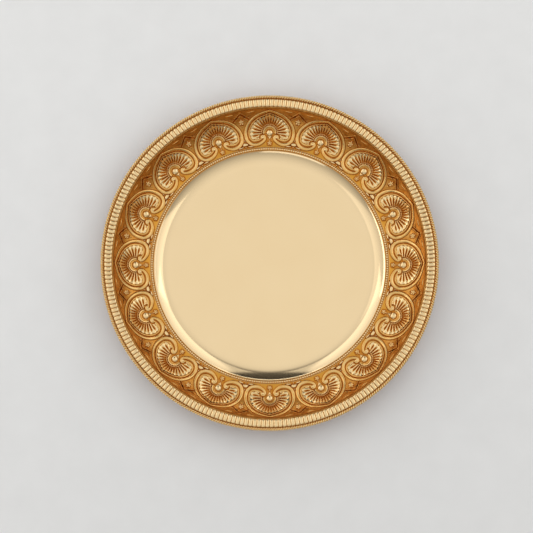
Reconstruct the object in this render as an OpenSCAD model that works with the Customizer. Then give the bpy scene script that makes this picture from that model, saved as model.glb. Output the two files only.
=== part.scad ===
// Round thali plate with a mirror well and a concave border of sixteen palmettes.
// Millimetres. The origin is the middle of the underside, +Z is up, and the first palmette points along +Y.

/* [Well] */
// Diameter of the flat floor of the well
well_d = 178; // [140:1:300]
// Thickness of the spun sheet
sheet_t = 1.2; // [0.8:0.1:2]
// Plan width of the cove round the floor
cove_run = 13.9; // [8:0.1:20]
// Rise of the cove from the floor to the ledge
cove_rise = 4.8; // [3:0.1:6]

/* [Bead moulding] */
// Diameter of the beads on the ledge
bead_d = 1.6; // [1:0.1:3]
// Diameter of the two plain wires beside the beads
wire_d = 0.8; // [0.5:0.1:2]
// Number of beads for each palmette
beads_per_palmette = 20; // [12:1:24]

/* [Border] */
// Number of palmettes round the border
palmette_n = 16; // [12:1:20]
// Rise of the concave border from the ledge to the flange
border_rise = 17.2; // [12:0.1:22]
// Slope of the border at its lower edge, in degrees, under 0 where it dips first
border_start_deg = -12; // [-14:1:8]
// Thickness of the border band
band_t = 0.8; // [0.5:0.1:1.2]
// Gap between neighbouring palmettes
palmette_gap = 1; // [0.5:0.1:3]
// Plan gap between a palmette's tip and the rim
tip_gap = 0.7; // [0:0.1:3]
// Height of a palmette's back plate above the border
plate_relief = 0.8; // [0.6:0.1:1]
// Height of the ribs, the collar and the frame's lower step above the border
rib_relief = 1.5; // [1.2:0.1:1.7]
// Height of the frame's crest above the border
frame_relief = 2.3; // [2:0.1:3]
// Number of ribs in a fan
rib_n = 15; // [9:2:25]

/* [Rim] */
// Width of the plain wire at the top of the border
rim_wire_d = 1; // [0.8:0.1:2]
// Width of the fluted band
flute_w = 7.6; // [4:0.1:10]
// Height of the fluted band
flute_h = 2.3; // [1.5:0.1:4]
// Depth of the hollows between the reeds
flute_depth = 0.7; // [0.3:0.1:1]
// Number of reeds for each palmette
flutes_per_palmette = 15; // [10:1:18]
// Diameter of the twisted wire at the edge
rope_d = 3; // [2:0.1:5]
// Number of quarter turns of the wire for each palmette
twists_per_palmette = 20; // [12:4:24]

/* [Fit] */
// Film of solder between two pieces
solder_gap = 0.05; // [0.02:0.01:0.1]

/* [Hidden] */
gold = [0.87, 0.72, 0.42];
pale_gold = [0.91, 0.8, 0.58];
dark_gold = [0.72, 0.52, 0.27];
bright_gold = [0.95, 0.86, 0.66];
$fn = 96;

// Dish
well_r = well_d / 2;
floor_z = sheet_t;
cove_deg = 2 * atan(cove_rise / cove_run);
cove_r = cove_run / sin(cove_deg);
ledge_r = well_r + cove_run;
ledge_z = floor_z + cove_rise;

// Section of a plain wire, as shares of its width: height of its sides, height of its crown and width of its flat top
side_h_share = 0.55;
crown_h_share = 0.87;
crown_w_share = 0.42;

// Rings on the ledge, one after the other
well_wire_r = ledge_r + wire_d / 2;
bead_ring_r = ledge_r + wire_d + solder_gap + bead_d / 2;
sill_wire_r = bead_ring_r + bead_d / 2 + solder_gap + wire_d / 2;
border_in = sill_wire_r + wire_d / 2 + solder_gap;
bead_n = beads_per_palmette * palmette_n;

// Shape of a palmette round its pearl, as shares of its width
lobe_x_share = 0.278;
lobe_y_share = -0.031;
lens_x_share = 0.04;
lens_y_share = -0.132;
lens_r_share = 0.545;
seat_share = 0.2725;
frame_step_shares = [0.01, 0.024, 0.054, 0.073];
fan_inset_share = 0.118;
rib_w_share = 0.028;
collar_out_share = 0.171;
collar_in_share = 0.107;
collar_end_share = -0.01;
collar_gap_share = 0.03;
volute_x_share = 0.133;
volute_y_share = -0.085;
volute_r_share = 0.04;
volute_gap_share = 0.02;
pearl_share = 0.068;
pendant_y_share = -0.185;
pendant_r_share = 0.036;
stem_w_share = 0.05;
stem_step_share = 0.01;
fan_deg = 244;

// Half the width of the lens at the height of the lobes gives the radius of the lobes
lobe_r_share = sqrt(pow(lens_r_share, 2) - pow(lobe_y_share - lens_y_share, 2)) - lens_x_share - lobe_x_share;
tip_share = lens_y_share + sqrt(pow(lens_r_share, 2) - pow(lens_x_share, 2));

// The width leaves the set gap between the lobes of two neighbours
half_pitch = 180 / palmette_n;
lobe_reach = lobe_r_share + lobe_x_share * cos(half_pitch) - (seat_share + lobe_y_share) * sin(half_pitch);
palmette_w = (border_in * sin(half_pitch) - palmette_gap / 2) / lobe_reach;
pearl_ring_r = border_in + seat_share * palmette_w;
border_run = (seat_share + tip_share) * palmette_w + tip_gap;
border_out = border_in + border_run;
lobe_y = lobe_y_share * palmette_w;
pearl_r = pearl_share * palmette_w;

// The border's ground is an arc that starts at the set slope
border_end_deg = 2 * atan(border_rise / border_run) - border_start_deg;
border_r = border_run / (sin(border_end_deg) - sin(border_start_deg));
border_foot_z = ledge_z + band_t;
border_x = border_in - border_r * sin(border_start_deg);
border_z = border_foot_z + border_r * cos(border_start_deg);
flange_z = border_foot_z + border_rise;
band_edge = (band_t + solder_gap) / sin(border_end_deg);

// Rings on the flange
rim_wire_w = max(rim_wire_d, band_edge);
flute_in = border_out + rim_wire_w + solder_gap;
flute_mid = flute_in + flute_w / 2;
rope_r = flute_in + flute_w + solder_gap + rope_d / 2;
flange_r = rope_r + rope_d / 4;
flute_n = flutes_per_palmette * palmette_n;
twist_n = twists_per_palmette * palmette_n;
top_z = flange_z + solder_gap + max(rope_d, flute_h);

function numbered(name, i) = str(name, i < 10 ? "_0" : "_", i);

// Rise of the border's ground from its lower edge to a radius
function border_rise_at(r) = border_z - border_foot_z - sqrt(pow(border_r, 2) - pow(r - border_x, 2));

// Triangles that join the sections of a closed ring
function ring_faces(columns, sides) = [
    for (k = [0:columns - 1])
    for (j = [0:sides - 1])
    let (next = (k + 1) % columns, up = (j + 1) % sides)
    each [
        [k * sides + j, next * sides + j, next * sides + up],
        [k * sides + j, next * sides + up, k * sides + up]
    ]
];

// Point of a ring at an angle round the plate
function ring_point(r, angle, z) = [r * cos(angle), r * sin(angle), z];

// Air above the dish in section, with its walls moved outwards
module dish_air(outset) {
    translate([0, floor_z - outset])
        square([well_r, top_z]);
    intersection() {
        translate([well_r, floor_z + cove_r])
            circle(cove_r + outset);
        translate([well_r, floor_z - sheet_t])
            square([border_in - well_r, cove_r + sheet_t]);
    }
    translate([0, ledge_z - outset])
        square([border_in, top_z]);
    intersection() {
        translate([border_x, border_z])
            circle(border_r + band_t + solder_gap + outset, $fn = 4 * $fn);
        translate([border_in, 0])
            square([border_run + flute_w, top_z]);
    }
    translate([border_out, flange_z - outset])
        square([border_r, top_z]);
}

// Space over the border in section, from a relief upwards
module border_air(relief) {
    intersection() {
        translate([border_x, border_z])
            circle(border_r - relief, $fn = 4 * $fn);
        translate([border_in, 0])
            square([border_run, flange_z + rim_wire_d / 2]);
    }
}

// Wire with a bevelled crown that lies flat on a ring seat
module crowned_ring(r, d, seat_z) {
    half_shares = [[1, 0], [1, side_h_share], [crown_w_share, crown_h_share]];
    right = [for (share = half_shares) [share[0] * d / 2, share[1] * d]];
    left = [for (i = [len(right) - 1:-1:0]) [-right[i][0], right[i][1]]];
    rotate_extrude()
        translate([r, seat_z + solder_gap])
            polygon(concat(right, left));
}

// One of the two arcs that make the pointed top of a palmette
module lens_half(side, inset) {
    translate([-side * lens_x_share, lens_y_share] * palmette_w)
        circle(lens_r_share * palmette_w - inset);
}

// Half of the plan above or below the middle of the lobes
module plan_half(side) {
    translate([-palmette_w, side > 0 ? lobe_y : lobe_y - palmette_w])
        square([2 * palmette_w, palmette_w]);
}

// Heart-shaped outline of a palmette round its pearl, drawn in by an inset
module heart_plan(inset) {
    intersection() {
        lens_half(-1, inset);
        lens_half(1, inset);
        plan_half(1);
    }
    for (side = [-1, 1])
        intersection() {
            translate([side * lobe_x_share * palmette_w, lobe_y])
                circle(lobe_r_share * palmette_w - inset);
            plan_half(-1);
        }
}

// Band of the frame between two insets
module frame_plan(outer_share, inner_share) {
    difference() {
        heart_plan(outer_share * palmette_w);
        heart_plan(inner_share * palmette_w);
    }
}

// Ribs that spread from the collar to the edge of the fan
module ribs_plan() {
    rib_w = rib_w_share * palmette_w;
    difference() {
        intersection() {
            heart_plan(fan_inset_share * palmette_w);
            for (i = [0:rib_n - 1])
                rotate(fan_deg * (i / (rib_n - 1) - 1 / 2))
                    translate([-rib_w / 2, 0])
                        square([rib_w, palmette_w]);
        }
        circle((collar_out_share + collar_gap_share) * palmette_w);
        volute_plan(volute_gap_share);
    }
}

// Arch over the pearl
module collar_plan() {
    difference() {
        circle(collar_out_share * palmette_w);
        circle(collar_in_share * palmette_w);
        translate([-palmette_w, (collar_end_share - 1) * palmette_w])
            square([2 * palmette_w, palmette_w]);
    }
}

// Round ends of the two curls
module volute_plan(margin_share) {
    for (side = [-1, 1])
        translate([side * volute_x_share, volute_y_share] * palmette_w)
            circle((volute_r_share + margin_share) * palmette_w);
}

// Stem and pendant under the pearl, drawn in by a share
module pendant_plan(inset_share) {
    stem_w = (stem_w_share - 2 * inset_share) * palmette_w;
    translate([0, pendant_y_share * palmette_w])
        circle((pendant_r_share - inset_share) * palmette_w);
    translate([-stem_w / 2, pendant_y_share * palmette_w])
        square([stem_w, -pendant_y_share * palmette_w]);
}

// Part of a palmette between two reliefs over the border, with its plan as child
module relief(low, high) {
    intersection() {
        rotate_extrude()
            difference() {
                border_air(low);
                border_air(high);
            }
        translate([0, pearl_ring_r])
            linear_extrude(top_z)
                children();
    }
}

// Spun sheet with the floor, the cove, the ledge, the wall and the flange
module dish() {
    color(gold)
        rotate_extrude()
            intersection() {
                difference() {
                    dish_air(sheet_t);
                    dish_air(0);
                }
                square([flange_r, flange_z]);
            }
}

// Plain wire beside the well
module well_wire() {
    color(pale_gold)
        crowned_ring(well_wire_r, wire_d, ledge_z);
}

// Beaded wire on the ledge
module bead_wire() {
    sides = 4;
    neck_share = 0.55;
    columns = 2 * bead_n;
    mid_z = ledge_z + solder_gap + bead_d / 2 * cos(180 / sides);
    points = [
        for (k = [0:columns - 1])
        for (j = [0:sides - 1])
        let (r = bead_d / 2 * (k % 2 == 0 ? 1 : neck_share), turn = 360 * (j + 1 / 2) / sides - 90)
        ring_point(bead_ring_r + r * cos(turn), 360 * k / columns, mid_z + r * sin(turn))
    ];
    color(bright_gold)
        polyhedron(points, ring_faces(columns, sides));
}

// Plain wire under the border
module sill_wire() {
    color(pale_gold)
        crowned_ring(sill_wire_r, wire_d, ledge_z);
}

// Thin concave lining of the wall
module border_band() {
    color(dark_gold)
        rotate_extrude()
            intersection() {
                difference() {
                    translate([border_x, border_z])
                        circle(border_r + band_t, $fn = 4 * $fn);
                    translate([border_x, border_z])
                        circle(border_r, $fn = 4 * $fn);
                }
                translate([border_in, 0])
                    square([border_run + band_edge, flange_z]);
            }
}

// Cast palmette on the border
module palmette(i) {
    color(gold)
        rotate((1 - i) * 2 * half_pitch) {
            relief(solder_gap, plate_relief) {
                heart_plan(0);
                pendant_plan(0);
            }
            relief(plate_relief / 2, rib_relief) {
                frame_plan(frame_step_shares[0], frame_step_shares[3]);
                ribs_plan();
                collar_plan();
                volute_plan(0);
                pendant_plan(stem_step_share);
            }
            relief(plate_relief, frame_relief)
                frame_plan(frame_step_shares[1], frame_step_shares[2]);
        }
}

// Half-round pearl in the collar of a palmette, flat underneath, its edge just clear of the hollow back plate
module pearl(i) {
    slope = asin((pearl_ring_r - border_x) / border_r);
    hollow_r = border_r - plate_relief;
    hollow = hollow_r - sqrt(pow(hollow_r, 2) - pow(pearl_r, 2));
    color(bright_gold)
        rotate((1 - i) * 2 * half_pitch)
            translate([0, pearl_ring_r, border_foot_z + border_rise_at(pearl_ring_r)])
                rotate([slope, 0, 0])
                    translate([0, 0, plate_relief + hollow + solder_gap])
                        rotate_extrude()
                            intersection() {
                                circle(pearl_r);
                                square(pearl_r);
                            }
}

// Plain wire over the joint between the border band and the flange
module rim_wire() {
    color(pale_gold)
        crowned_ring(border_out + rim_wire_w / 2, rim_wire_w, flange_z);
}

// Reeded band on the flange
module fluted_band() {
    arc_degs = [0, 40, 90, 140, 180];
    columns = 2 * flute_n;
    points = [
        for (k = [0:columns - 1])
        for (turn = arc_degs)
        let (h = flute_h - (k % 2 == 0 ? 0 : flute_depth))
        ring_point(flute_mid + flute_w / 2 * cos(turn), 360 * k / columns, flange_z + solder_gap + h * sin(turn))
    ];
    color(bright_gold)
        polyhedron(points, ring_faces(columns, len(arc_degs)));
}

// Twisted square wire at the edge
module rope_edge() {
    sides = 4;
    steps = 2;
    columns = steps * twist_n;
    mid_z = flange_z + solder_gap + rope_d / 2;
    points = [
        for (k = [0:columns - 1])
        for (j = [0:sides - 1])
        let (turn = 360 / sides * (j + k / steps))
        ring_point(rope_r + rope_d / 2 * cos(turn), 360 * k / columns, mid_z + rope_d / 2 * sin(turn))
    ];
    color(gold)
        polyhedron(points, ring_faces(columns, sides));
}

dish();
well_wire();
bead_wire();
sill_wire();
border_band();
rim_wire();
fluted_band();
rope_edge();
for (i = [1:palmette_n]) {
    palmette(i);
    pearl(i);
}
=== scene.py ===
"""Looks of a round thali plate on a pale floor.

The plate has a mirror well, a chased border of palmettes, a reeded rim and a rope edge. Its sizes are in
millimetres, and become metres where a mesh is made. Floor, lights and camera are in metres.
"""
import math

import bmesh
import bpy
import numpy as np
from mathutils import Matrix, Vector


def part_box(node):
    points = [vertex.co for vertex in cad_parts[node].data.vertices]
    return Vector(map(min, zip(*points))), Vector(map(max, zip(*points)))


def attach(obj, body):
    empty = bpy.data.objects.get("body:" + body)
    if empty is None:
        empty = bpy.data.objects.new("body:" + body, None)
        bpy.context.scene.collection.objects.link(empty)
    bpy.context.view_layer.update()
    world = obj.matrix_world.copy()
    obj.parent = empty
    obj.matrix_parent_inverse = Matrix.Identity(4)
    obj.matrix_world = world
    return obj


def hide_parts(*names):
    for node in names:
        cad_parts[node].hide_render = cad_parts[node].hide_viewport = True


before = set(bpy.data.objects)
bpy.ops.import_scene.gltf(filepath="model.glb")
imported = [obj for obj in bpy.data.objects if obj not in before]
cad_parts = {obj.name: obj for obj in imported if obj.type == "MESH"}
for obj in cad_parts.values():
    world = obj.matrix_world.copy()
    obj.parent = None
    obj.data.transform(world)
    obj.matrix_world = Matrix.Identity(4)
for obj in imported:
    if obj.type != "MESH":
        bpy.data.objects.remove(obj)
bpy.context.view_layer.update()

MM = 0.001


# Sizes read from the frame

def ring_span(node):
    """Inner radius, outer radius, lowest and highest point of a CAD ring."""
    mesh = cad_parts[node].data
    points = np.empty(3 * len(mesh.vertices))
    mesh.vertices.foreach_get("co", points)
    points = points.reshape(-1, 3) / MM
    radii = np.hypot(points[:, 0], points[:, 1])
    return radii.min(), radii.max(), points[:, 2].min(), points[:, 2].max()


PALMETTES = sum(name.startswith("palmette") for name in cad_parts)
PITCH = 2 * math.pi / PALMETTES
DISH_SPAN = ring_span("dish")
WELL_WIRE_SPAN = ring_span("well_wire")
BEAD_SPAN = ring_span("bead_wire")
SILL_WIRE_SPAN = ring_span("sill_wire")
BAND_SPAN = ring_span("border_band")
RIM_WIRE_SPAN = ring_span("rim_wire")
FLUTE_SPAN = ring_span("fluted_band")
ROPE_SPAN = ring_span("rope_edge")
FLANGE_R = DISH_SPAN[1]
FLANGE_Z = DISH_SPAN[3]
LEDGE_R = WELL_WIRE_SPAN[0]
LEDGE_Z = WELL_WIRE_SPAN[2]
BORDER_IN = BAND_SPAN[0]
BORDER_OUT = RIM_WIRE_SPAN[0]
PALMETTE_W = (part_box("palmette_01")[1].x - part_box("palmette_01")[0].x) / MM
PEARL_R = (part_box("pearl_01")[1].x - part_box("pearl_01")[0].x) / 2 / MM

# Sizes that the frame doesn't give, as in the part's source
SHEET_T = 1.2
COVE_RUN = 13.9
BAND_T = 0.8
BORDER_RISE = 17.2
BORDER_START = math.radians(-12)
SOLDER_GAP = 0.05
TIP_GAP = 0.7
TIP_SHARE = 0.4115
PEARL_RING_R = BORDER_OUT - TIP_GAP - TIP_SHARE * PALMETTE_W

# Counts round the plate
BEADS = 20 * PALMETTES
REEDS = 15 * PALMETTES
TWISTS = 26 * PALMETTES

# The ground of the border is an arc in section
BORDER_RUN = BORDER_OUT - BORDER_IN
BORDER_FOOT_Z = FLANGE_Z - BORDER_RISE
BORDER_END = 2 * math.atan(BORDER_RISE / BORDER_RUN) - BORDER_START
BORDER_R = BORDER_RUN / (math.sin(BORDER_END) - math.sin(BORDER_START))
BORDER_X = BORDER_IN - BORDER_R * math.sin(BORDER_START)
BORDER_Z = BORDER_FOOT_Z + BORDER_R * math.cos(BORDER_START)
STEEPNESS_LIMIT = 1.7


def ground(r):
    """Height of the border's ground at a radius."""
    return BORDER_Z - np.sqrt(BORDER_R ** 2 - (r - BORDER_X) ** 2)


def steepness(r):
    """How much longer a height over the ground is when it is measured straight up, within a limit."""
    return np.minimum(1 / np.sqrt(1 - ((r - BORDER_X) / BORDER_R) ** 2), STEEPNESS_LIMIT)


# Small shapes that the reliefs are made of

PETALS = 5
PETAL_SHARE = 0.3
VEIN_SHARE = 0.12
KNOB_SHARE = 0.45
KNOB_GAP_SHARE = 0.16
KNOB_GROOVE_SHARE = 0.2


def ease(low, high, value):
    """Goes smoothly from 0 at low to 1 at high."""
    t = np.clip((value - low) / (high - low), 0, 1)
    return t * t * (3 - 2 * t)


def dome(distance, reach):
    """Half-round hump, 1 in its middle and 0 from its reach outwards."""
    return np.sqrt(np.clip(1 - (distance / reach) ** 2, 0, 1))


def cushion(distance, reach):
    """Broad-crowned hump, 1 in its middle and 0 from its reach outwards."""
    return np.sqrt(np.clip(1 - np.abs(distance / reach) ** 3, 0, 1))


def rosette(x, y, reach):
    """Small flower of round petals about a knob, 1 at its highest and 0 from its reach outwards."""
    distance = np.hypot(x, y)
    petal = np.abs(np.cos(PETALS * np.arctan2(x, y) / 2))
    petals = cushion(distance, reach * (1 - PETAL_SHARE * (1 - petal))) * (1 - VEIN_SHARE * (1 - petal))
    return petals * (1 - KNOB_GROOVE_SHARE * dome(distance - KNOB_SHARE * reach, KNOB_GAP_SHARE * reach))


def leaf(x, y, place, halves, lean=0.0):
    """Broad-crowned leaf at a place, with half its length and width, leaning from the sideways direction."""
    dx, dy = x - place[0], y - place[1]
    along = dx * math.cos(lean) + dy * math.sin(lean)
    over = dy * math.cos(lean) - dx * math.sin(lean)
    return cushion(np.hypot(along / halves[0], over / halves[1]), 1)


def off_line(x, y, start, end):
    """How far points lie from a straight line between two places."""
    start, end = np.array(start), np.array(end)
    along = end - start
    share = np.clip(((x - start[0]) * along[0] + (y - start[1]) * along[1]) / (along @ along), 0, 1)
    return np.hypot(x - start[0] - share * along[0], y - start[1] - share * along[1])


# Meshes

SHARP_EDGE = math.radians(60)
BACK_ROWS = 12

# How far a point lies under its surroundings when its painted shade is at its darkest, near it and around it
FINE_HOLLOW = 0.35
BROAD_HOLLOW = 1.3
FINE_PASSES = 12
BROAD_PASSES = 40

# Heights over the border's ground where the gold's painted shade is at its darkest and at its palest
LOW_GROUND = 0.1
HIGH_GROUND = 2.25


def face_out(mesh):
    """Turns a closed mesh's faces outwards."""
    shape = bmesh.new()
    shape.from_mesh(mesh)
    bmesh.ops.recalc_face_normals(shape, faces=shape.faces)
    shape.to_mesh(mesh)
    shape.free()


def grid_mesh(name, grid, painted_shade, capped):
    """Closed mesh of a grid of points that runs round in its columns.

    It runs round in its rows too, unless both ends are capped.
    """
    columns, rows = grid.shape[:2]
    points = grid.reshape(-1, 3)
    index = np.arange(columns * rows).reshape(columns, rows)
    beside = np.roll(index, -1, axis=0)
    above, beside_above = np.roll(index, -1, axis=1), np.roll(beside, -1, axis=1)
    quads = np.stack([index, beside, beside_above, above], axis=-1)
    if capped:
        quads = quads[:, :-1]
    faces = quads.reshape(-1, 4).tolist()
    shades = painted_shade.reshape(-1)
    if capped:
        for row in (0, -1):
            pairs = zip(index[:, row].tolist(), beside[:, row].tolist())
            faces += [[len(points), a, b] for a, b in pairs]
            points = np.vstack([points, grid[:, row].mean(axis=0)])
            shades = np.append(shades, painted_shade[:, row].mean())
    mesh = bpy.data.meshes.new(name)
    mesh.from_pydata(points * MM, [], faces)
    # Painted shade of each point, which the golds turn into darker colours
    mesh.attributes.new("painted_shade", "FLOAT", "POINT").data.foreach_set("value", shades)
    face_out(mesh)
    mesh.polygons.foreach_set("use_smooth", [True] * len(mesh.polygons))
    mesh.set_sharp_from_angle(angle=SHARP_EDGE)
    return mesh


def ring_mesh(name, angles, radii, heights, painted_shade, capped=False):
    """Mesh of columns round the plate and rows round the section."""
    grid = np.stack([radii * np.cos(angles), radii * np.sin(angles), heights], axis=-1)
    return grid_mesh(name, grid, painted_shade, capped)


def lathe_mesh(name, profile, segments, capped, shades=0.0):
    """Turned shape of a profile of radii and heights, with painted shade for all of it or for each point."""
    profile = np.array(profile)
    angles = np.linspace(0, 2 * math.pi, segments, endpoint=False)[:, None]
    heights = np.broadcast_to(profile[None, :, 1], (segments, len(profile)))
    painted_shade = np.broadcast_to(np.asarray(shades, float), heights.shape)
    return ring_mesh(name, angles, profile[None, :, 0], heights, painted_shade, capped)


def hollows(heights, passes, depth):
    """How deep each point of a grid lies under its surroundings, from 0 to 1."""
    spread = heights
    for _ in range(passes):
        spread = (spread + np.roll(spread, 1, 0) + np.roll(spread, -1, 0)) / 3
        padded = np.pad(spread, ((0, 0), (1, 1)), mode="edge")
        spread = (padded[:, :-2] + padded[:, 1:-1] + padded[:, 2:]) / 3
    return np.clip((spread - heights) / depth, 0, 1)


def relief_mesh(name, middle, edge, relief, columns, rows):
    """Solid with a worked top that stands on the border's ground at +Y.

    Its edge is a list of plan points from the pearl's place, and is taken by bearings from its middle.
    """
    rays = edge - np.array(middle)
    angles = np.linspace(-math.pi, math.pi, columns, endpoint=False)
    bearings = np.arctan2(rays[:, 1], rays[:, 0])
    reach = np.interp(angles, bearings, np.hypot(*rays.T), period=2 * math.pi)
    shares = np.concatenate([np.linspace(1 / rows, 1, rows), np.linspace(1, 1 / rows, BACK_ROWS)])
    x = middle[0] + np.outer(reach * np.cos(angles), shares)
    y = middle[1] + np.outer(reach * np.sin(angles), shares)
    top = relief(x[:, :rows], y[:, :rows])
    # Painted shade: darker in hollows, low on the ground and all over the hidden back rows
    low = 1 - ease(LOW_GROUND, HIGH_GROUND, top)
    fine = hollows(top, FINE_PASSES, FINE_HOLLOW)
    broad = hollows(top, BROAD_PASSES, BROAD_HOLLOW)
    darkening = np.maximum.reduce([fine, broad, low])
    height = np.concatenate([top, np.full((columns, BACK_ROWS), SOLDER_GAP)], axis=1)
    painted_shade = np.concatenate([darkening, np.ones((columns, BACK_ROWS))], axis=1)
    far = np.hypot(x, y + PEARL_RING_R)
    z = ground(far) + height * steepness(far)
    return grid_mesh(name, np.stack([x, y + PEARL_RING_R, z], axis=-1), painted_shade, capped=True)


def add_piece(name, mesh, material, stands_for=None, turn=0.0):
    """A piece of the plate, turned round the plate's axis."""
    piece = bpy.data.objects.new(name, mesh)
    bpy.context.scene.collection.objects.link(piece)
    piece.matrix_world = Matrix.Rotation(turn, 4, "Z")
    if not mesh.materials:
        mesh.materials.append(material)
    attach(piece, "root")
    if stands_for:
        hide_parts(stands_for)


# Nodes of materials

def link_nodes(tree, *pairs):
    """Joins pairs of sockets."""
    for source, target in pairs:
        tree.links.new(source, target)


def add_node(tree, kind, **values):
    """Node with its settings."""
    made = tree.nodes.new("ShaderNode" + kind)
    for name, value in values.items():
        setattr(made, name, value)
    return made


def noise(tree, place, scale, detail):
    """Noise at a scale of patches a metre."""
    made = add_node(tree, "TexNoise")
    made.inputs["Scale"].default_value = scale
    made.inputs["Detail"].default_value = detail
    tree.links.new(place, made.inputs["Vector"])
    return made.outputs["Fac"]


def remap(tree, value, low, high):
    """Brings a value between 0 and 1 to a range."""
    made = add_node(tree, "MapRange")
    made.inputs["To Min"].default_value = low
    made.inputs["To Max"].default_value = high
    tree.links.new(value, made.inputs["Value"])
    return made.outputs["Result"]


def fade(tree, value, low, high, first, last):
    """Goes smoothly from a first value at low to a last value at high."""
    made = add_node(tree, "MapRange", interpolation_type="SMOOTHSTEP")
    for name, setting in (("From Min", low), ("From Max", high), ("To Min", first), ("To Max", last)):
        made.inputs[name].default_value = setting
    tree.links.new(value, made.inputs["Value"])
    return made.outputs["Result"]


def ramp(tree, value, places, colours):
    """Colour that goes through a row of colours, each at its place between 0 and 1."""
    made = add_node(tree, "ValToRGB")
    stops = made.color_ramp.elements
    for place in places[1:-1]:
        stops.new(place)
    for stop, place, colour in zip(stops, places, colours):
        stop.position = place
        stop.color = (*colour, 1)
    tree.links.new(value, made.inputs["Fac"])
    return made.outputs["Color"]


def bump(tree, height, strength, depth, under=None):
    """Bumps of a depth in metres, which can lie on other bumps."""
    made = add_node(tree, "Bump")
    made.inputs["Strength"].default_value = strength
    made.inputs["Distance"].default_value = depth
    tree.links.new(height, made.inputs["Height"])
    if under is not None:
        tree.links.new(under, made.inputs["Normal"])
    return made.outputs["Normal"]


def new_material(name):
    """Material with its tree of nodes, its shader and the place on the object."""
    made = bpy.data.materials.new(name)
    made.use_nodes = True
    tree = made.node_tree
    place = add_node(tree, "TexCoord").outputs["Object"]
    return made, tree, tree.nodes["Principled BSDF"], place


def painted_shade_value(tree):
    """Painted shade of the mesh, from 0 on crests to 1 in hollows."""
    return add_node(tree, "Attribute", attribute_name="painted_shade").outputs["Fac"]


# Golds

WELL_GOLD = (0.85, 0.66, 0.395)
WELL_GOLD_DEEP = (0.82, 0.62, 0.355)
CREST_GOLD = (0.82, 0.63, 0.34)
# Painted shade: the flank, recess and ground golds are darker and more orange, for shade and gold reflected
# in gold
FLANK_PAINTED_SHADE = (0.69, 0.4, 0.12)
RECESS_PAINTED_SHADE = (0.49, 0.18, 0.019)
GROUND_PAINTED_SHADE = (0.6, 0.28, 0.042)
WIRE_GOLD = (0.77, 0.57, 0.3)
WIRE_FLANK_PAINTED_SHADE = (0.72, 0.42, 0.13)
WIRE_RECESS_PAINTED_SHADE = (0.38, 0.14, 0.02)

# Finish of each worked gold: its roughness, and the scale and depth of its grain
RELIEF_FINISH = (0.14, 900, 0.00004)
GROUND_FINISH = (0.3, 1200, 0.0001)
WIRE_FINISH = (0.17, 1100, 0.00003)

# All worked gold: its mottle, its grain and how much rougher its hollows are
GOLD_STOPS = (0, 0.5, 1)
MOTTLE_SCALE, MOTTLE_DETAIL, MOTTLE_REACH = 240, 3, 0.3
GRAIN_DETAIL, GRAIN_STRENGTH = 2, 0.4
GRAIN_ROUGHNESS = 0.04
HOLLOW_ROUGHNESS = 0.25

# Mirror gold: its clouds of colour, its waviness and the rings left by spinning
CLOUD_SCALE, CLOUD_DETAIL = 25, 3
WAVE_SCALE, WAVE_DETAIL, WAVE_STRENGTH, WAVE_DEPTH = 9, 1, 0.3, 0.0006
SPIN_SCALE, SPIN_DETAIL, SPIN_STRENGTH, SPIN_DEPTH = 700, 4, 0.1, 0.00001
MIRROR_ROUGHNESS = (0.09, 0.16)


def gold(name, colours, roughness, grain_scale, grain_depth):
    """Polished gold with a fine grain, in colours from its crests through painted shade to its hollows,
    which are duller too.
    """
    made, tree, shader, place = new_material(name)
    shader.inputs["Metallic"].default_value = 1
    mottle = remap(tree, noise(tree, place, MOTTLE_SCALE, MOTTLE_DETAIL), -MOTTLE_REACH, MOTTLE_REACH)
    grain = noise(tree, place, grain_scale, GRAIN_DETAIL)
    shine = remap(tree, grain, roughness - GRAIN_ROUGHNESS, roughness + GRAIN_ROUGHNESS)
    # Mottle and the mesh's painted shade together choose the colour
    darkening = add_node(tree, "Math", operation="ADD", use_clamp=True)
    dull = add_node(tree, "Math", operation="MULTIPLY_ADD", use_clamp=True)
    dull.inputs[1].default_value = HOLLOW_ROUGHNESS
    link_nodes(
        tree,
        (mottle, darkening.inputs[0]),
        (painted_shade_value(tree), darkening.inputs[1]),
        (ramp(tree, darkening.outputs[0], GOLD_STOPS, colours), shader.inputs["Base Color"]),
        (darkening.outputs[0], dull.inputs[0]),
        (shine, dull.inputs[2]),
        (dull.outputs[0], shader.inputs["Roughness"]),
        (bump(tree, grain, GRAIN_STRENGTH, grain_depth), shader.inputs["Normal"]),
    )
    return made


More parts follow.
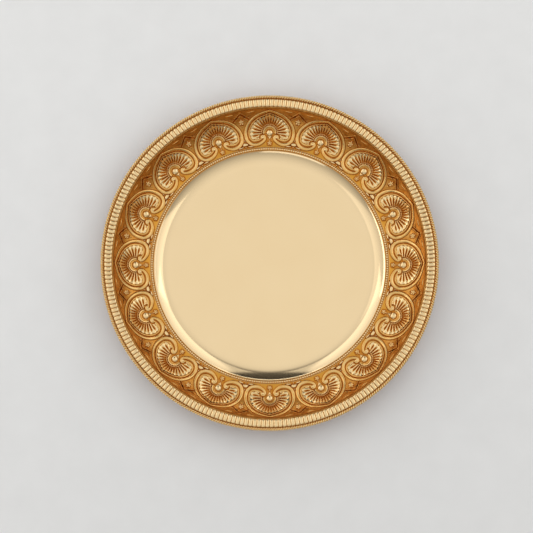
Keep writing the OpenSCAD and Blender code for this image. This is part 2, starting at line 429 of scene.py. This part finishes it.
def mirror_gold():
    """Mirror polish of the well, with faint spinning rings, a slight waviness and painted shade where the
    border stands on it.
    """
    made, tree, shader, place = new_material("mirror_gold")
    shader.inputs["Metallic"].default_value = 1
    flat = add_node(tree, "VectorMath", operation="MULTIPLY")
    flat.inputs[1].default_value = (1, 1, 0)
    radius = add_node(tree, "VectorMath", operation="LENGTH")
    rings = add_node(tree, "TexNoise", noise_dimensions="1D")
    rings.inputs["Scale"].default_value = SPIN_SCALE
    rings.inputs["Detail"].default_value = SPIN_DETAIL
    cloud = noise(tree, place, CLOUD_SCALE, CLOUD_DETAIL)
    # Painted shade under the border, by the mesh's painted shade
    under_border_shade = add_node(tree, "Mix", data_type="RGBA")
    under_border_shade.inputs["B"].default_value = (*RECESS_PAINTED_SHADE, 1)
    waves = bump(tree, noise(tree, place, WAVE_SCALE, WAVE_DETAIL), WAVE_STRENGTH, WAVE_DEPTH)
    spin = bump(tree, rings.outputs["Fac"], SPIN_STRENGTH, SPIN_DEPTH, waves)
    link_nodes(
        tree,
        (place, flat.inputs[0]),
        (flat.outputs[0], radius.inputs[0]),
        (radius.outputs["Value"], rings.inputs["W"]),
        (painted_shade_value(tree), under_border_shade.inputs["Factor"]),
        (ramp(tree, cloud, (0, 1), (WELL_GOLD_DEEP, WELL_GOLD)), under_border_shade.inputs["A"]),
        (under_border_shade.outputs["Result"], shader.inputs["Base Color"]),
        (remap(tree, rings.outputs["Fac"], *MIRROR_ROUGHNESS), shader.inputs["Roughness"]),
        (spin, shader.inputs["Normal"]),
    )
    return made


mirror = mirror_gold()
# Relief and wire golds darken by the mesh's painted shade; the ground gold is painted shade all over
relief_gold = gold("relief_gold", (CREST_GOLD, FLANK_PAINTED_SHADE, RECESS_PAINTED_SHADE), *RELIEF_FINISH)
ground_gold = gold("ground_gold", (GROUND_PAINTED_SHADE, GROUND_PAINTED_SHADE, RECESS_PAINTED_SHADE), *GROUND_FINISH)
wire_gold = gold("wire_gold", (WIRE_GOLD, WIRE_FLANK_PAINTED_SHADE, WIRE_RECESS_PAINTED_SHADE), *WIRE_FINISH)


# Dish

TURNED_SEGMENTS = 512
FLOOR_RINGS = 12
COVE_POINTS = 30
UNDER_COVE_POINTS = 20
WALL_POINTS = 24


def arc(centre, radius, start, end, count):
    """Points of an arc in section, by its slope."""
    turn = np.linspace(start, end, count)
    return [(centre[0] + radius * math.sin(a), centre[1] - radius * math.cos(a)) for a in turn]


def wall_slope(height, outset):
    """Slope of the wall, moved out from the border's ground, where it reaches a height."""
    return math.acos((BORDER_Z - height) / (BORDER_R + outset))


def wall_arc(outset, height, count):
    """Section of the wall, moved out from the border's ground, up to a height."""
    return arc((BORDER_X, BORDER_Z), BORDER_R + outset, BORDER_START, wall_slope(height, outset), count)


def dish_profile():
    """Section of the spun sheet, from the middle of the floor round to the middle of the underside."""
    ledge_z = LEDGE_Z - SOLDER_GAP
    cove_turn = 2 * math.atan((ledge_z - SHEET_T) / COVE_RUN)
    cove_r = COVE_RUN / math.sin(cove_turn)
    well_r = LEDGE_R - COVE_RUN
    cove_mid = (well_r, SHEET_T + cove_r)
    under_turn = math.acos((cove_mid[1] - ledge_z + SHEET_T) / (cove_r + SHEET_T))
    inside = BAND_T + SOLDER_GAP
    floor = [(r, SHEET_T) for r in np.linspace(well_r / FLOOR_RINGS, well_r, FLOOR_RINGS)[:-1]]
    cove = arc(cove_mid, cove_r, 0, cove_turn, COVE_POINTS)
    wall = wall_arc(inside, FLANGE_Z, WALL_POINTS)
    under_floor = [(r, 0) for r, _ in floor]
    under_cove = arc(cove_mid, cove_r + SHEET_T, 0, under_turn, UNDER_COVE_POINTS)
    under_wall = wall_arc(inside + SHEET_T, FLANGE_Z - SHEET_T, WALL_POINTS)
    top = floor + cove + wall + [(FLANGE_R, FLANGE_Z)]
    under = under_floor + under_cove + under_wall + [(FLANGE_R, FLANGE_Z - SHEET_T)]
    return top + under[::-1]


def dish_mesh():
    """Spun dish, with painted shade on the ledge and wall where the border stands on them."""
    profile = dish_profile()
    ledge_start = LEDGE_R - SOLDER_GAP
    return lathe_mesh("spun_dish", profile, TURNED_SEGMENTS, True, [r > ledge_start for r, _ in profile])


add_piece("spun_dish", dish_mesh(), mirror, "dish")


# Plain wires

WIRE_FOOT_SHARE = 0.25
WIRE_CREST_SHARE = 0.25
WIRE_REACH_SHARE = 0.5
WIRE_DARK_SHARE = WIRE_REACH_SHARE + WIRE_CREST_SHARE / 2
WIRE_POINTS = 13
WIRE_SEGMENTS = 480

# Painted shade on the crest of each wire
WELL_WIRE_SHADE = 0.55
SILL_WIRE_SHADE = 0.3
RIM_WIRE_SHADE = 0.75


def plain_ring(node, span, dark_outside, least_shade):
    """Plain wire that is highest on one side, and low with painted shade on the other."""
    inner, outer, low, high = span
    start, end = (inner, outer) if dark_outside else (outer, inner)
    across = np.linspace(0, 1, WIRE_POINTS)
    crown = WIRE_FOOT_SHARE + (1 - WIRE_FOOT_SHARE) * dome(across - WIRE_CREST_SHARE, WIRE_REACH_SHARE)
    radii = start + (end - start) * across
    profile = [(start, low), *zip(radii, low + (high - low) * crown), (end, low)]
    # Painted shade: darker towards the low side
    slack = ease(WIRE_CREST_SHARE, WIRE_DARK_SHARE, np.array([0, *across, 1]))
    shades = least_shade + (1 - least_shade) * slack
    ring = lathe_mesh("plain_" + node, profile, WIRE_SEGMENTS, False, shades)
    add_piece("plain_" + node, ring, wire_gold, node)


plain_ring("well_wire", WELL_WIRE_SPAN, True, WELL_WIRE_SHADE)
plain_ring("sill_wire", SILL_WIRE_SPAN, False, SILL_WIRE_SHADE)
plain_ring("rim_wire", RIM_WIRE_SPAN, False, RIM_WIRE_SHADE)


# Rings that are worked all round: steps along one bead, reed or twist, and sides of the section

BEAD_STEPS, BEAD_SIDES = 10, 14
BEAD_R = 0.79
BEAD_NECK_SHARE = 0.06
BEAD_HALF_SHARE = 0.38
BEAD_CROWN_SHARE = 0.35
BEAD_BRIGHT_SHARE = 0.8

REED_STEPS, REED_SIDES = 12, 22
REED_GROOVE = 0.9
REED_SQUARE_SHARE = 0.85
REED_SQUARE_POWER = 6
REED_DARK_SHARE, REED_BRIGHT_SHARE = 0.05, 0.45

TWIST_STEPS, TWIST_SIDES = 8, 18
STRAND_PLACE_SHARE, STRAND_R_SHARE = 0.48, 0.52
TWIST_DARK_SHARE, TWIST_BRIGHT_SHARE = 0.2, 0.4


def columns_round(repeats, steps):
    """Numbers of the columns of a ring, where each is in its repeat, from -0.5 to 0.5, and its angle."""
    along = np.arange(repeats * steps)[:, None]
    return along, along % steps / steps - 0.5, 2 * math.pi * along / (repeats * steps)


def section_turns(sides):
    """Angles of the points of a round section."""
    return np.linspace(0, 2 * math.pi, sides, endpoint=False)[None, :]


def beaded_ring():
    """Wire of round beads, with flattened crowns and thin necks."""
    _, off_middle, angles = columns_round(BEADS, BEAD_STEPS)
    swell = BEAD_NECK_SHARE + (1 - BEAD_NECK_SHARE) * cushion(off_middle, BEAD_HALF_SHARE)
    turns = section_turns(BEAD_SIDES)
    rise = np.sin(turns)
    radii = (BEAD_SPAN[0] + BEAD_SPAN[1]) / 2 + BEAD_R * swell * np.cos(turns)
    heights = LEDGE_Z + BEAD_R * (1 + swell * np.where(rise > 0, BEAD_CROWN_SHARE, 1) * rise)
    # Painted shade in the necks between the beads
    painted_shade = np.broadcast_to(1 - ease(BEAD_NECK_SHARE, BEAD_BRIGHT_SHARE, swell), heights.shape)
    return ring_mesh("beaded_ring", angles, radii, heights, painted_shade)


def reeded_ring():
    """Band of reeds that run across a round moulding."""
    inner, outer, low, high = FLUTE_SPAN
    _, off_middle, angles = columns_round(REEDS, REED_STEPS)
    swell = dome(off_middle, 0.5)
    across = -np.cos(np.linspace(0, math.pi, REED_SIDES))[None, :]
    radii = (inner + outer) / 2 + (outer - inner) / 2 * across
    square = np.sqrt(1 - across ** REED_SQUARE_POWER)
    crown = REED_SQUARE_SHARE * square + (1 - REED_SQUARE_SHARE) * (1 - across ** 2)
    heights = low + (high - low - REED_GROOVE * (1 - swell)) * crown
    # Painted shade in the grooves between the reeds
    painted_shade = np.broadcast_to(1 - ease(REED_DARK_SHARE, REED_BRIGHT_SHARE, swell), heights.shape)
    return ring_mesh("reeded_ring", angles, radii, heights, painted_shade)


def rope_ring():
    """Two strands twisted into a rope."""
    _, outer, low, high = ROPE_SPAN
    rope_r = (high - low) / 2
    along, _, angles = columns_round(TWISTS, TWIST_STEPS)
    turns = section_turns(TWIST_SIDES)
    lay = np.abs(np.cos(turns - math.pi * along / TWIST_STEPS))
    past_place = np.sqrt(STRAND_R_SHARE ** 2 - STRAND_PLACE_SHARE ** 2 * (1 - lay ** 2))
    reach = STRAND_PLACE_SHARE * lay + past_place
    radii = outer - rope_r + rope_r * reach * np.cos(turns)
    heights = low + rope_r + rope_r * reach * np.sin(turns)
    # Painted shade where the strands dip into the twist
    painted_shade = 1 - ease(TWIST_DARK_SHARE, TWIST_BRIGHT_SHARE, reach)
    return ring_mesh("rope_ring", angles, radii, heights, painted_shade)


add_piece("beaded_ring", beaded_ring(), wire_gold, "bead_wire")
add_piece("reeded_ring", reeded_ring(), wire_gold, "fluted_band")
add_piece("rope_ring", rope_ring(), wire_gold, "rope_edge")


# Border's ground

BAND_POINTS = 30


def band_mesh():
    """Sheet that the border's ornament stands on."""
    top = arc((BORDER_X, BORDER_Z), BORDER_R, BORDER_START, BORDER_END, BAND_POINTS)
    under = wall_arc(BAND_T, FLANGE_Z, BAND_POINTS)
    return lathe_mesh("chased_ground", top + under[::-1], TURNED_SEGMENTS, False)


add_piece("chased_ground", band_mesh(), ground_gold, "border_band")


# Frame of a palmette: plan sizes are shares of a palmette's width, and turns are in degrees

FRAME_START_SHARE = 0.376
FRAME_HEADING = math.radians(-14)
FRAME_RADII_SHARES = (1.637, 0.409, 0.3, 0.155, 0.245, 0.071, 0.033)
FRAME_TURNS = (8, 36, 50, 72, 45, 45, 200)
ARC_POINTS = 60
EDGE_SHARE = 0.006

# Half widths of the frame at shares of its length, and the share where its side ends and turns in
FRAME_STOP_SHARES = (0, 0.2, 0.55, 0.75, 0.9, 1)
FRAME_HALF_SHARES = (0.031, 0.042, 0.055, 0.062, 0.044, 0.024)
SIDE_END_SHARE = FRAME_STOP_SHARES[3]

# Points that are compared with the frame at a time
BATCH_POINTS = 4000


def along_arc(place, radius, heading, bend):
    """Place on an arc that starts at a place with a heading, where its heading has become the bend."""
    run = math.sin(heading) - math.sin(bend)
    rise = math.cos(bend) - math.cos(heading)
    return place + radius * np.array([run, rise])


def frame_line():
    """Middle line of the right half of a palmette's frame: points, outward normals and half widths."""
    place = np.array([0, FRAME_START_SHARE])
    heading = FRAME_HEADING
    points, headings = [], []
    for radius, turn in zip(FRAME_RADII_SHARES, np.radians(FRAME_TURNS)):
        bends = heading - np.linspace(0, turn, ARC_POINTS, endpoint=False)
        points += [along_arc(place, radius, heading, bend) for bend in bends]
        headings += list(bends)
        place = along_arc(place, radius, heading, heading - turn)
        heading = heading - turn
    points, headings = np.array(points), np.array(headings)
    normals = np.stack([-np.sin(headings), np.cos(headings)], axis=-1)
    travel = np.append(0, np.cumsum(np.hypot(*np.diff(points, axis=0).T)))
    halves = np.interp(travel / travel[-1], FRAME_STOP_SHARES, FRAME_HALF_SHARES)
    return points, normals, halves


FRAME_POINTS, FRAME_NORMALS, FRAME_HALVES = frame_line()
FRAME_OUTSIDE = FRAME_POINTS + (FRAME_HALVES + EDGE_SHARE)[:, None] * FRAME_NORMALS
SIDE_POINTS = int(SIDE_END_SHARE * len(FRAME_POINTS))
VOLUTE_PLACE = FRAME_POINTS[-1] - FRAME_RADII_SHARES[-1] * FRAME_NORMALS[-1]
BOW = slice(0, len(FRAME_POINTS) - ARC_POINTS)
CURL = slice(len(FRAME_POINTS) - ARC_POINTS, len(FRAME_POINTS))


def from_frame(x, y, line):
    """How far points lie outside the middle line of a part of the frame, and its half width there."""
    places = np.stack([np.abs(x), y], axis=-1).reshape(-1, 2)
    batches = np.array_split(places, len(places) // BATCH_POINTS + 1)
    nearest = line.start + np.concatenate([
        np.argmin(np.hypot(*(batch[:, None] - FRAME_POINTS[None, line]).transpose(2, 0, 1)), axis=1)
        for batch in batches
    ])
    away = places - FRAME_POINTS[nearest]
    outside = np.sign((away * FRAME_NORMALS[nearest]).sum(axis=1))
    return (outside * np.hypot(*away.T)).reshape(x.shape), FRAME_HALVES[nearest].reshape(x.shape)


# Palmettes: the roll, the fillet and the curl are placed in shares of the frame's half width

PALMETTE_COLUMNS, PALMETTE_ROWS = 480, 100
PLATE_H = 0.3
FRAME_H = 1.35
ROLL_PLACE_SHARE, ROLL_REACH_SHARE = 0.27, 0.73
CURL_REACH_SHARE = 0.9
FILLET_H = 1.15
FILLET_PLACE_SHARE, FILLET_REACH_SHARE = -1.0, 0.42
VOLUTE_H = 1.7
VOLUTE_BALL_SHARE = 0.032

# Notch of the plate round the flower
NOTCH_H = 0.12
NOTCH_TURNS = (140, 150)
NOTCH_FAR_SHARES = (0.19, 0.23)
NOTCH_SHARES = (0.055, -0.25)
NOTCH_TIP_SHARE = 0.262

# Fan, where gaps between the ribs start, end and fade at shares of the way from the collar to the frame
FAN_RIBS = 21
FAN_HALF_TURN = 126
FAN_END_TURNS = (FAN_HALF_TURN + 8, FAN_HALF_TURN - 2)
FAN_GAP_SHARE = 0.008
FAN_RIM_SHARE = 0.8
SCALLOP_SHARE = 0.012
GAP_START_SHARE = 0.15
GAP_END_SHARE = 0.6
GAP_FADE_SHARE = 0.9
FAN_H = 1.8
FAN_FOOT_H = 0.45
RIB_H = 1.35

# Collar, with its bed, rail and pricks in shares of its half width
COLLAR_H = 1.5
COLLAR_SHARE = 0.132
COLLAR_HALF_SHARE = 0.038
COLLAR_END_TURNS = (106, 98)
RAIL_PLACE_SHARE, RAIL_REACH_SHARE = 0.7, 0.3
BED_PLACE_SHARE, BED_REACH_SHARE = -0.2, 0.78
BED_H_SHARE = 0.95
PRICKS = 15
PRICKED_TURN = 200
PRICK_TURN = PRICKED_TURN / PRICKS
PRICK_PLACE_SHARE, PRICK_REACH_SHARE = 0.25, 0.34
PRICK_DEPTH_SHARE = 0.9
SOCKET_H = 0.85
SOCKET_SHARES = (0.064, 0.074)

# Pendant under the pearl
STEM_H = 1.6
STEM_HALF_SHARE = 0.062
STEM_SHARES = (-0.14, -0.05)
DROP_H = 1.4
DROP_SHARE = 0.15
DROP_R_SHARE = 0.02
FLOWER_H = 1.9
FLOWER_SHARE = 0.205
FLOWER_R_SHARE = 0.055


def fan_relief(far, turn, inside):
    """Heights of the shell of ribs between the collar and the frame."""
    rib = np.abs(np.cos(math.pi * turn / (2 * FAN_HALF_TURN / FAN_RIBS)))
    rib_end = FAN_GAP_SHARE + SCALLOP_SHARE * (1 - rib)
    edge = ease(rib_end, rib_end + FAN_GAP_SHARE, inside)
    out = far - COLLAR_SHARE
    share = np.clip(out / np.maximum(out + inside - FAN_GAP_SHARE, FAN_GAP_SHARE), 0, 1)
    rim = 1 - FAN_RIM_SHARE * ease(GAP_END_SHARE, GAP_FADE_SHARE, share)
    gap = ease(0, GAP_START_SHARE, share) * rim
    shell = FAN_FOOT_H + (FAN_H - FAN_FOOT_H) * ease(0, GAP_END_SHARE, share) - RIB_H * gap * (1 - rib)
    return shell * edge * ease(*FAN_END_TURNS, turn) * (far > COLLAR_SHARE)


def collar_relief(far, turn):
    """Heights of the pricked collar, and of the socket that holds the pearl."""
    across = (far - COLLAR_SHARE) / COLLAR_HALF_SHARE
    along = np.abs((turn + PRICK_TURN / 2) % PRICK_TURN - PRICK_TURN / 2)
    prick_away = np.hypot(across - PRICK_PLACE_SHARE, np.radians(along) * far / COLLAR_HALF_SHARE)
    pricked = 1 - PRICK_DEPTH_SHARE * dome(prick_away, PRICK_REACH_SHARE)
    rail = dome(across - RAIL_PLACE_SHARE, RAIL_REACH_SHARE)
    bed = BED_H_SHARE * cushion(across - BED_PLACE_SHARE, BED_REACH_SHARE) * pricked
    socket = SOCKET_H * ease(*SOCKET_SHARES, far) * (far < COLLAR_SHARE)
    return np.maximum(COLLAR_H * np.maximum(rail, bed), socket) * ease(*COLLAR_END_TURNS, turn)


def pendant_relief(x, y, far):
    """Heights of the tapered stem, the drop and the small flower under the pearl."""
    stem_half = np.maximum(STEM_HALF_SHARE * ease(*STEM_SHARES, y), EDGE_SHARE)
    on_stem = (STEM_SHARES[0] < y) * (y < 0) * ease(*SOCKET_SHARES, far)
    stem = STEM_H * dome(x, stem_half) * on_stem
    drop = DROP_H * dome(np.hypot(x, y + DROP_SHARE), DROP_R_SHARE)
    flower = FLOWER_H * rosette(x, y + FLOWER_SHARE, FLOWER_R_SHARE)
    return np.maximum.reduce([stem, drop, flower])


def palmette_relief(plan_x, plan_y):
    """Heights of a palmette over the border's ground."""
    x, y = plan_x / PALMETTE_W, plan_y / PALMETTE_W
    side = np.abs(x)
    far = np.hypot(x, y)
    turn = np.degrees(np.arctan2(side, y))
    outside, half = from_frame(x, y, BOW)
    across = outside / half
    off_curl, curl_half = from_frame(x, y, CURL)
    volute_away = np.hypot(side - VOLUTE_PLACE[0], y - VOLUTE_PLACE[1])
    inside = np.minimum(-outside - half, volute_away - FRAME_RADII_SHARES[-1] - curl_half)

    in_notch = ease(*NOTCH_TURNS, turn) * ease(*NOTCH_FAR_SHARES, far)
    roll = dome(across - ROLL_PLACE_SHARE, ROLL_REACH_SHARE)
    curl = dome(off_curl / curl_half, CURL_REACH_SHARE)
    return np.maximum.reduce([
        PLATE_H - (PLATE_H - NOTCH_H) * in_notch,
        FRAME_H * np.maximum(roll, curl),
        FILLET_H * cushion(across - FILLET_PLACE_SHARE, FILLET_REACH_SHARE),
        VOLUTE_H * dome(volute_away, VOLUTE_BALL_SHARE),
        fan_relief(far, turn, inside),
        collar_relief(far, turn),
        pendant_relief(x, y, far),
    ])


def palmette_edge():
    """Outline of a palmette, with its notch closed round the flower."""
    bearings = np.arctan2(FRAME_OUTSIDE[:, 1], FRAME_OUTSIDE[:, 0])
    lowest = np.argmin(bearings[:SIDE_POINTS])
    right = FRAME_OUTSIDE[:lowest + 1]
    right = np.vstack([right[right[:, 0] > 0], [NOTCH_SHARES]])
    tip = [[0, -NOTCH_TIP_SHARE]]
    left = right[::-1] * (-1, 1)
    return np.vstack([right, tip, left]) * PALMETTE_W


palmette_mesh = relief_mesh(
    "palmette", (0, 0), palmette_edge(), palmette_relief, PALMETTE_COLUMNS, PALMETTE_ROWS
)
for i in range(PALMETTES):
    node = f"palmette_{i + 1:02d}"
    add_piece("chased_" + node, palmette_mesh, relief_gold, node, -i * PITCH)


# Pearls

PEARL_CROWN_SHARE = 0.65
PEARL_POINTS = 15
PEARL_SEGMENTS = 48


def pearl_mesh():
    """Polished half-round knob that stands square to the wall at +Y."""
    base = PLATE_H + 2 * SOLDER_GAP
    turns = np.linspace(0, math.pi / 2, PEARL_POINTS, endpoint=False)
    profile = [(PEARL_R * math.cos(a), PEARL_CROWN_SHARE * PEARL_R * math.sin(a)) for a in turns]
    mesh = lathe_mesh("pearl", [(PEARL_R / 2, 0)] + profile, PEARL_SEGMENTS, True)
    slope = math.asin((PEARL_RING_R - BORDER_X) / BORDER_R)
    out = Vector((0, -math.sin(slope), math.cos(slope)))
    place = Vector((0, PEARL_RING_R, ground(PEARL_RING_R))) + base * out
    mesh.transform(Matrix.Translation(place * MM) @ Matrix.Rotation(slope, 4, "X"))
    return mesh


pearl = pearl_mesh()
for i in range(PALMETTES):
    node = f"pearl_{i + 1:02d}"
    add_piece("domed_" + node, pearl, wire_gold, node, -i * PITCH)


# Chasing between the palmettes, which stands on the border's ground half a pitch further on

UPPER_COLUMNS, UPPER_ROWS = 320, 70
LOWER_COLUMNS, LOWER_ROWS = 240, 50
EDGE_GAP = 0.2
EDGE_POINTS = 80
NARROW_POINTS = 12

# Places are sideways from the middle of the chasing and outwards from the pearls' ring
UPPER_MIDDLE = (0, 13.6)
PANEL_H = 0.6
KITE_TOP, KITE_SIDE = (0.6, 16.4), (9.3, 10.4)
KITE_GROOVE = (0.2, 0.6)
RIDGE_H, RIDGE_PLACE, RIDGE_REACH = 0.5, 0.95, 0.4
ROSE_H, ROSE_R, ROSE_Y = 2.1, 2.9, 10.4
SMALL_PEARL_H, SMALL_PEARL_R, SMALL_PEARL_Y = 1.0, 0.9, 7.0
BUD_H, BUD_HALVES, BUD_PLACE = 1.1, (1.5, 0.8), (0, 17.6)
LONG_LEAF_H, LONG_LEAF_HALVES, LONG_LEAF_PLACE = 2.0, (4.2, 0.8), (9.8, 17.3)

LOWER_MIDDLE = (0, -8.2)
LOW_LEAF_H, LOW_LEAF_HALVES, LOW_LEAF_PLACE = 1.9, (3.9, 1.8), (0, -8.7)
SIDE_LEAF_H, SIDE_LEAF_HALVES, SIDE_LEAF_PLACE = 1.7, (3.2, 0.9), (4.6, -11.2)
SIDE_LEAF_LEAN = -0.12
LOW_PEARL_H, LOW_PEARL_R, LOW_PEARL_Y = 1.7, 1.0, -5.4
SEED_H, SEED_R, SEED_Y = 1.5, 0.9, -11.4


def spandrel_side(below):
    """Edges of the spandrel over or under the place where two palmettes come closest, on its right side."""
    outer = FRAME_OUTSIDE[:SIDE_POINTS] * PALMETTE_W
    far = np.hypot(outer[:, 0], outer[:, 1] + PEARL_RING_R)
    turn = PITCH / 2 - np.arctan2(outer[:, 0], outer[:, 1] + PEARL_RING_R)
    narrow = np.argmin(turn)
    under, over = slice(narrow + NARROW_POINTS, np.argmin(far) + 1), slice(0, narrow - NARROW_POINTS)
    part = under if below else over
    return far[part], turn[part]


def spandrel_edge(below):
    """Outline of a spandrel, closed along the border's inner or outer edge."""
    far, turn = spandrel_side(below)
    far_edge = BORDER_IN + EDGE_GAP if below else BORDER_OUT - EDGE_GAP
    across = np.linspace(-turn.max(), turn.max(), EDGE_POINTS)
    far = np.concatenate([far, far, np.full(EDGE_POINTS, far_edge)])
    turn = np.concatenate([turn, -turn, across])
    return np.stack([far * np.sin(turn), far * np.cos(turn) - PEARL_RING_R], axis=-1)


def upper_relief(x, y):
    """Heights under the rim: a flower and a small pearl on a kite, a bud, and a long leaf on both sides."""
    side = np.abs(x)
    kite = off_line(side, y, KITE_TOP, KITE_SIDE)
    panel = PANEL_H * ease(*KITE_GROOVE, kite) + RIDGE_H * dome(kite - RIDGE_PLACE, RIDGE_REACH)
    rose = ROSE_H * rosette(x, y - ROSE_Y, ROSE_R)
    small_pearl = SMALL_PEARL_H * dome(np.hypot(x, y - SMALL_PEARL_Y), SMALL_PEARL_R)
    bud = BUD_H * leaf(x, y, BUD_PLACE, BUD_HALVES)
    shelf = (1 - (y - LONG_LEAF_PLACE[1]) / LONG_LEAF_HALVES[1]) / 2
    long_leaf = LONG_LEAF_H * shelf * leaf(side, y, LONG_LEAF_PLACE, LONG_LEAF_HALVES)
    return np.maximum.reduce([np.full(x.shape, NOTCH_H), panel, rose, small_pearl, bud, long_leaf])


def lower_relief(x, y):
    """Heights over the sill: a leaf that lies across, a small pearl, a seed, and a leaf on both sides."""
    side = np.abs(x)
    across = LOW_LEAF_H * leaf(x, y, LOW_LEAF_PLACE, LOW_LEAF_HALVES)
    side_leaf = SIDE_LEAF_H * leaf(side, y, SIDE_LEAF_PLACE, SIDE_LEAF_HALVES, SIDE_LEAF_LEAN)
    small_pearl = LOW_PEARL_H * dome(np.hypot(x, y - LOW_PEARL_Y), LOW_PEARL_R)
    seed = SEED_H * dome(np.hypot(x, y - SEED_Y), SEED_R)
    return np.maximum.reduce([np.full(x.shape, NOTCH_H), across, side_leaf, small_pearl, seed])


upper_mesh = relief_mesh(
    "upper_spandrel", UPPER_MIDDLE, spandrel_edge(False), upper_relief, UPPER_COLUMNS, UPPER_ROWS
)
lower_mesh = relief_mesh(
    "lower_spandrel", LOWER_MIDDLE, spandrel_edge(True), lower_relief, LOWER_COLUMNS, LOWER_ROWS
)
for i in range(PALMETTES):
    turn = -(i + 0.5) * PITCH
    for name, mesh in (("upper_spandrel", upper_mesh), ("lower_spandrel", lower_mesh)):
        add_piece(f"{name}_{i + 1:02d}", mesh, relief_gold, "border_band", turn)


# Floor

FLOOR_HALF = 1.6
FLOOR_GAP = 0.0002
FLOOR_COLOURS = ((0.72, 0.72, 0.71), (0.78, 0.78, 0.77))
FLOOR_ROUGHNESS = 0.9
FLOOR_CLOUD_SCALE, FLOOR_CLOUD_DETAIL = 40, 4
FLOOR_GRAIN_SCALE, FLOOR_GRAIN_DETAIL, FLOOR_GRAIN_STRENGTH, FLOOR_GRAIN_DEPTH = 900, 2, 0.1, 0.0002


def floor_material():
    """Pale matt surface with faint clouds and a fine grain."""
    made, tree, shader, place = new_material("pale_floor")
    shader.inputs["Roughness"].default_value = FLOOR_ROUGHNESS
    cloud = noise(tree, place, FLOOR_CLOUD_SCALE, FLOOR_CLOUD_DETAIL)
    grain = noise(tree, place, FLOOR_GRAIN_SCALE, FLOOR_GRAIN_DETAIL)
    link_nodes(
        tree,
        (ramp(tree, cloud, (0, 1), FLOOR_COLOURS), shader.inputs["Base Color"]),
        (bump(tree, grain, FLOOR_GRAIN_STRENGTH, FLOOR_GRAIN_DEPTH), shader.inputs["Normal"]),
    )
    return made


def add_floor():
    """Plain pale floor, just under the plate."""
    mesh = bpy.data.meshes.new("floor")
    corners = [(FLOOR_HALF * x, FLOOR_HALF * y, 0) for x, y in ((-1, -1), (1, -1), (1, 1), (-1, 1))]
    mesh.from_pydata(corners, [], [(0, 1, 2, 3)])
    mesh.materials.append(floor_material())
    floor = bpy.data.objects.new("floor", mesh)
    floor.location.z = -FLOOR_GAP
    bpy.context.scene.collection.objects.link(floor)


add_floor()


# Light: the room's colours go from its horizon to its zenith, by the height of a direction

ROOM_HEIGHTS = (0.3, 0.97, 1)
ROOM_COLOURS = ((0.3, 0.29, 0.28), (0.97, 0.97, 0.97), (1, 1, 1))

# Soft edges of the dark doorway, also by direction: to the sides, to the back and upwards
DOOR_SIDES = (0.22, 0.3)
DOOR_BACK = (0.2, 0.4)
DOOR_TOP = (0.72, 0.9)
DOOR_LIGHT = 0.15

# Soft boxes: their places, sizes and radiances
LIGHTS = {
    "back_left": ((-0.8, 0.88, 0.74), (1.25, 1.25), 0.7),
    "back_right": ((0.8, 0.88, 0.74), (1.25, 1.25), 0.7),
    "left": ((-0.85, 0.05, 1.0), (0.9, 1.1), 0.27),
    "right": ((0.95, 0.05, 0.85), (0.8, 1.0), 0.55),
    "front": ((-0.3, -1.2, 0.6), (0.8, 0.4), 0.8),
    "low_left": ((-1.2, 0.0, 0.4), (1.0, 0.4), 1.9),
    "low_right": ((1.2, 0.0, 0.4), (1.0, 0.4), 0.3),
    "low_back": ((0, 1.3, 0.17), (1.2, 0.3), 2.0),
}


def add_world():
    """Room that is bright overhead and dim round the horizon, with a dark doorway at the back."""
    world = bpy.data.worlds.new("studio")
    bpy.context.scene.world = world
    world.use_nodes = True
    tree = world.node_tree
    background = tree.nodes["Background"]
    parts = add_node(tree, "SeparateXYZ")
    sideways = add_node(tree, "Math", operation="ABSOLUTE")
    beside = add_node(tree, "Math", operation="MAXIMUM")
    over = add_node(tree, "Math", operation="MAXIMUM")
    link_nodes(
        tree,
        (add_node(tree, "TexCoord").outputs["Generated"], parts.inputs[0]),
        (ramp(tree, parts.outputs["Z"], ROOM_HEIGHTS, ROOM_COLOURS), background.inputs["Color"]),
        (parts.outputs["X"], sideways.inputs[0]),
        (fade(tree, sideways.outputs[0], *DOOR_SIDES, DOOR_LIGHT, 1), beside.inputs[0]),
        (fade(tree, parts.outputs["Y"], *DOOR_BACK, 1, DOOR_LIGHT), beside.inputs[1]),
        (fade(tree, parts.outputs["Z"], *DOOR_TOP, DOOR_LIGHT, 1), over.inputs[0]),
        (beside.outputs[0], over.inputs[1]),
        (over.outputs[0], background.inputs["Strength"]),
    )


def add_light(name, place, size, radiance):
    """Soft box of an even brightness, which faces the middle of the plate."""
    data = bpy.data.lights.new(name, "AREA")
    data.shape = "RECTANGLE"
    data.size, data.size_y = size
    data.energy = radiance * math.pi * size[0] * size[1]
    box = bpy.data.objects.new(name, data)
    box.location = place
    box.rotation_euler = (-Vector(place)).to_track_quat("-Z", "Y").to_euler()
    bpy.context.scene.collection.objects.link(box)


add_world()
for name, (place, size, radiance) in LIGHTS.items():
    add_light(name, place, size, radiance)


# Camera: its lens and sensor are in millimetres

CAMERA_LENS = 300
CAMERA_SENSOR = 36
CAMERA_AIM = Vector((-0.0028, -0.0039, 0.027))
CAMERA_RISE = math.radians(82.5)
CAMERA_DISTANCE = 3.923


def add_camera():
    """Camera nearly overhead, a little towards the near side."""
    data = bpy.data.cameras.new("camera")
    data.lens = CAMERA_LENS
    data.sensor_width = CAMERA_SENSOR
    camera = bpy.data.objects.new("camera", data)
    back = Vector((0, -math.cos(CAMERA_RISE), math.sin(CAMERA_RISE)))
    camera.location = CAMERA_AIM + CAMERA_DISTANCE * back
    camera.rotation_euler = (CAMERA_AIM - camera.location).to_track_quat("-Z", "Y").to_euler()
    bpy.context.scene.collection.objects.link(camera)
    bpy.context.scene.camera = camera


add_camera()

bpy.context.scene.view_settings.view_transform = "Standard"
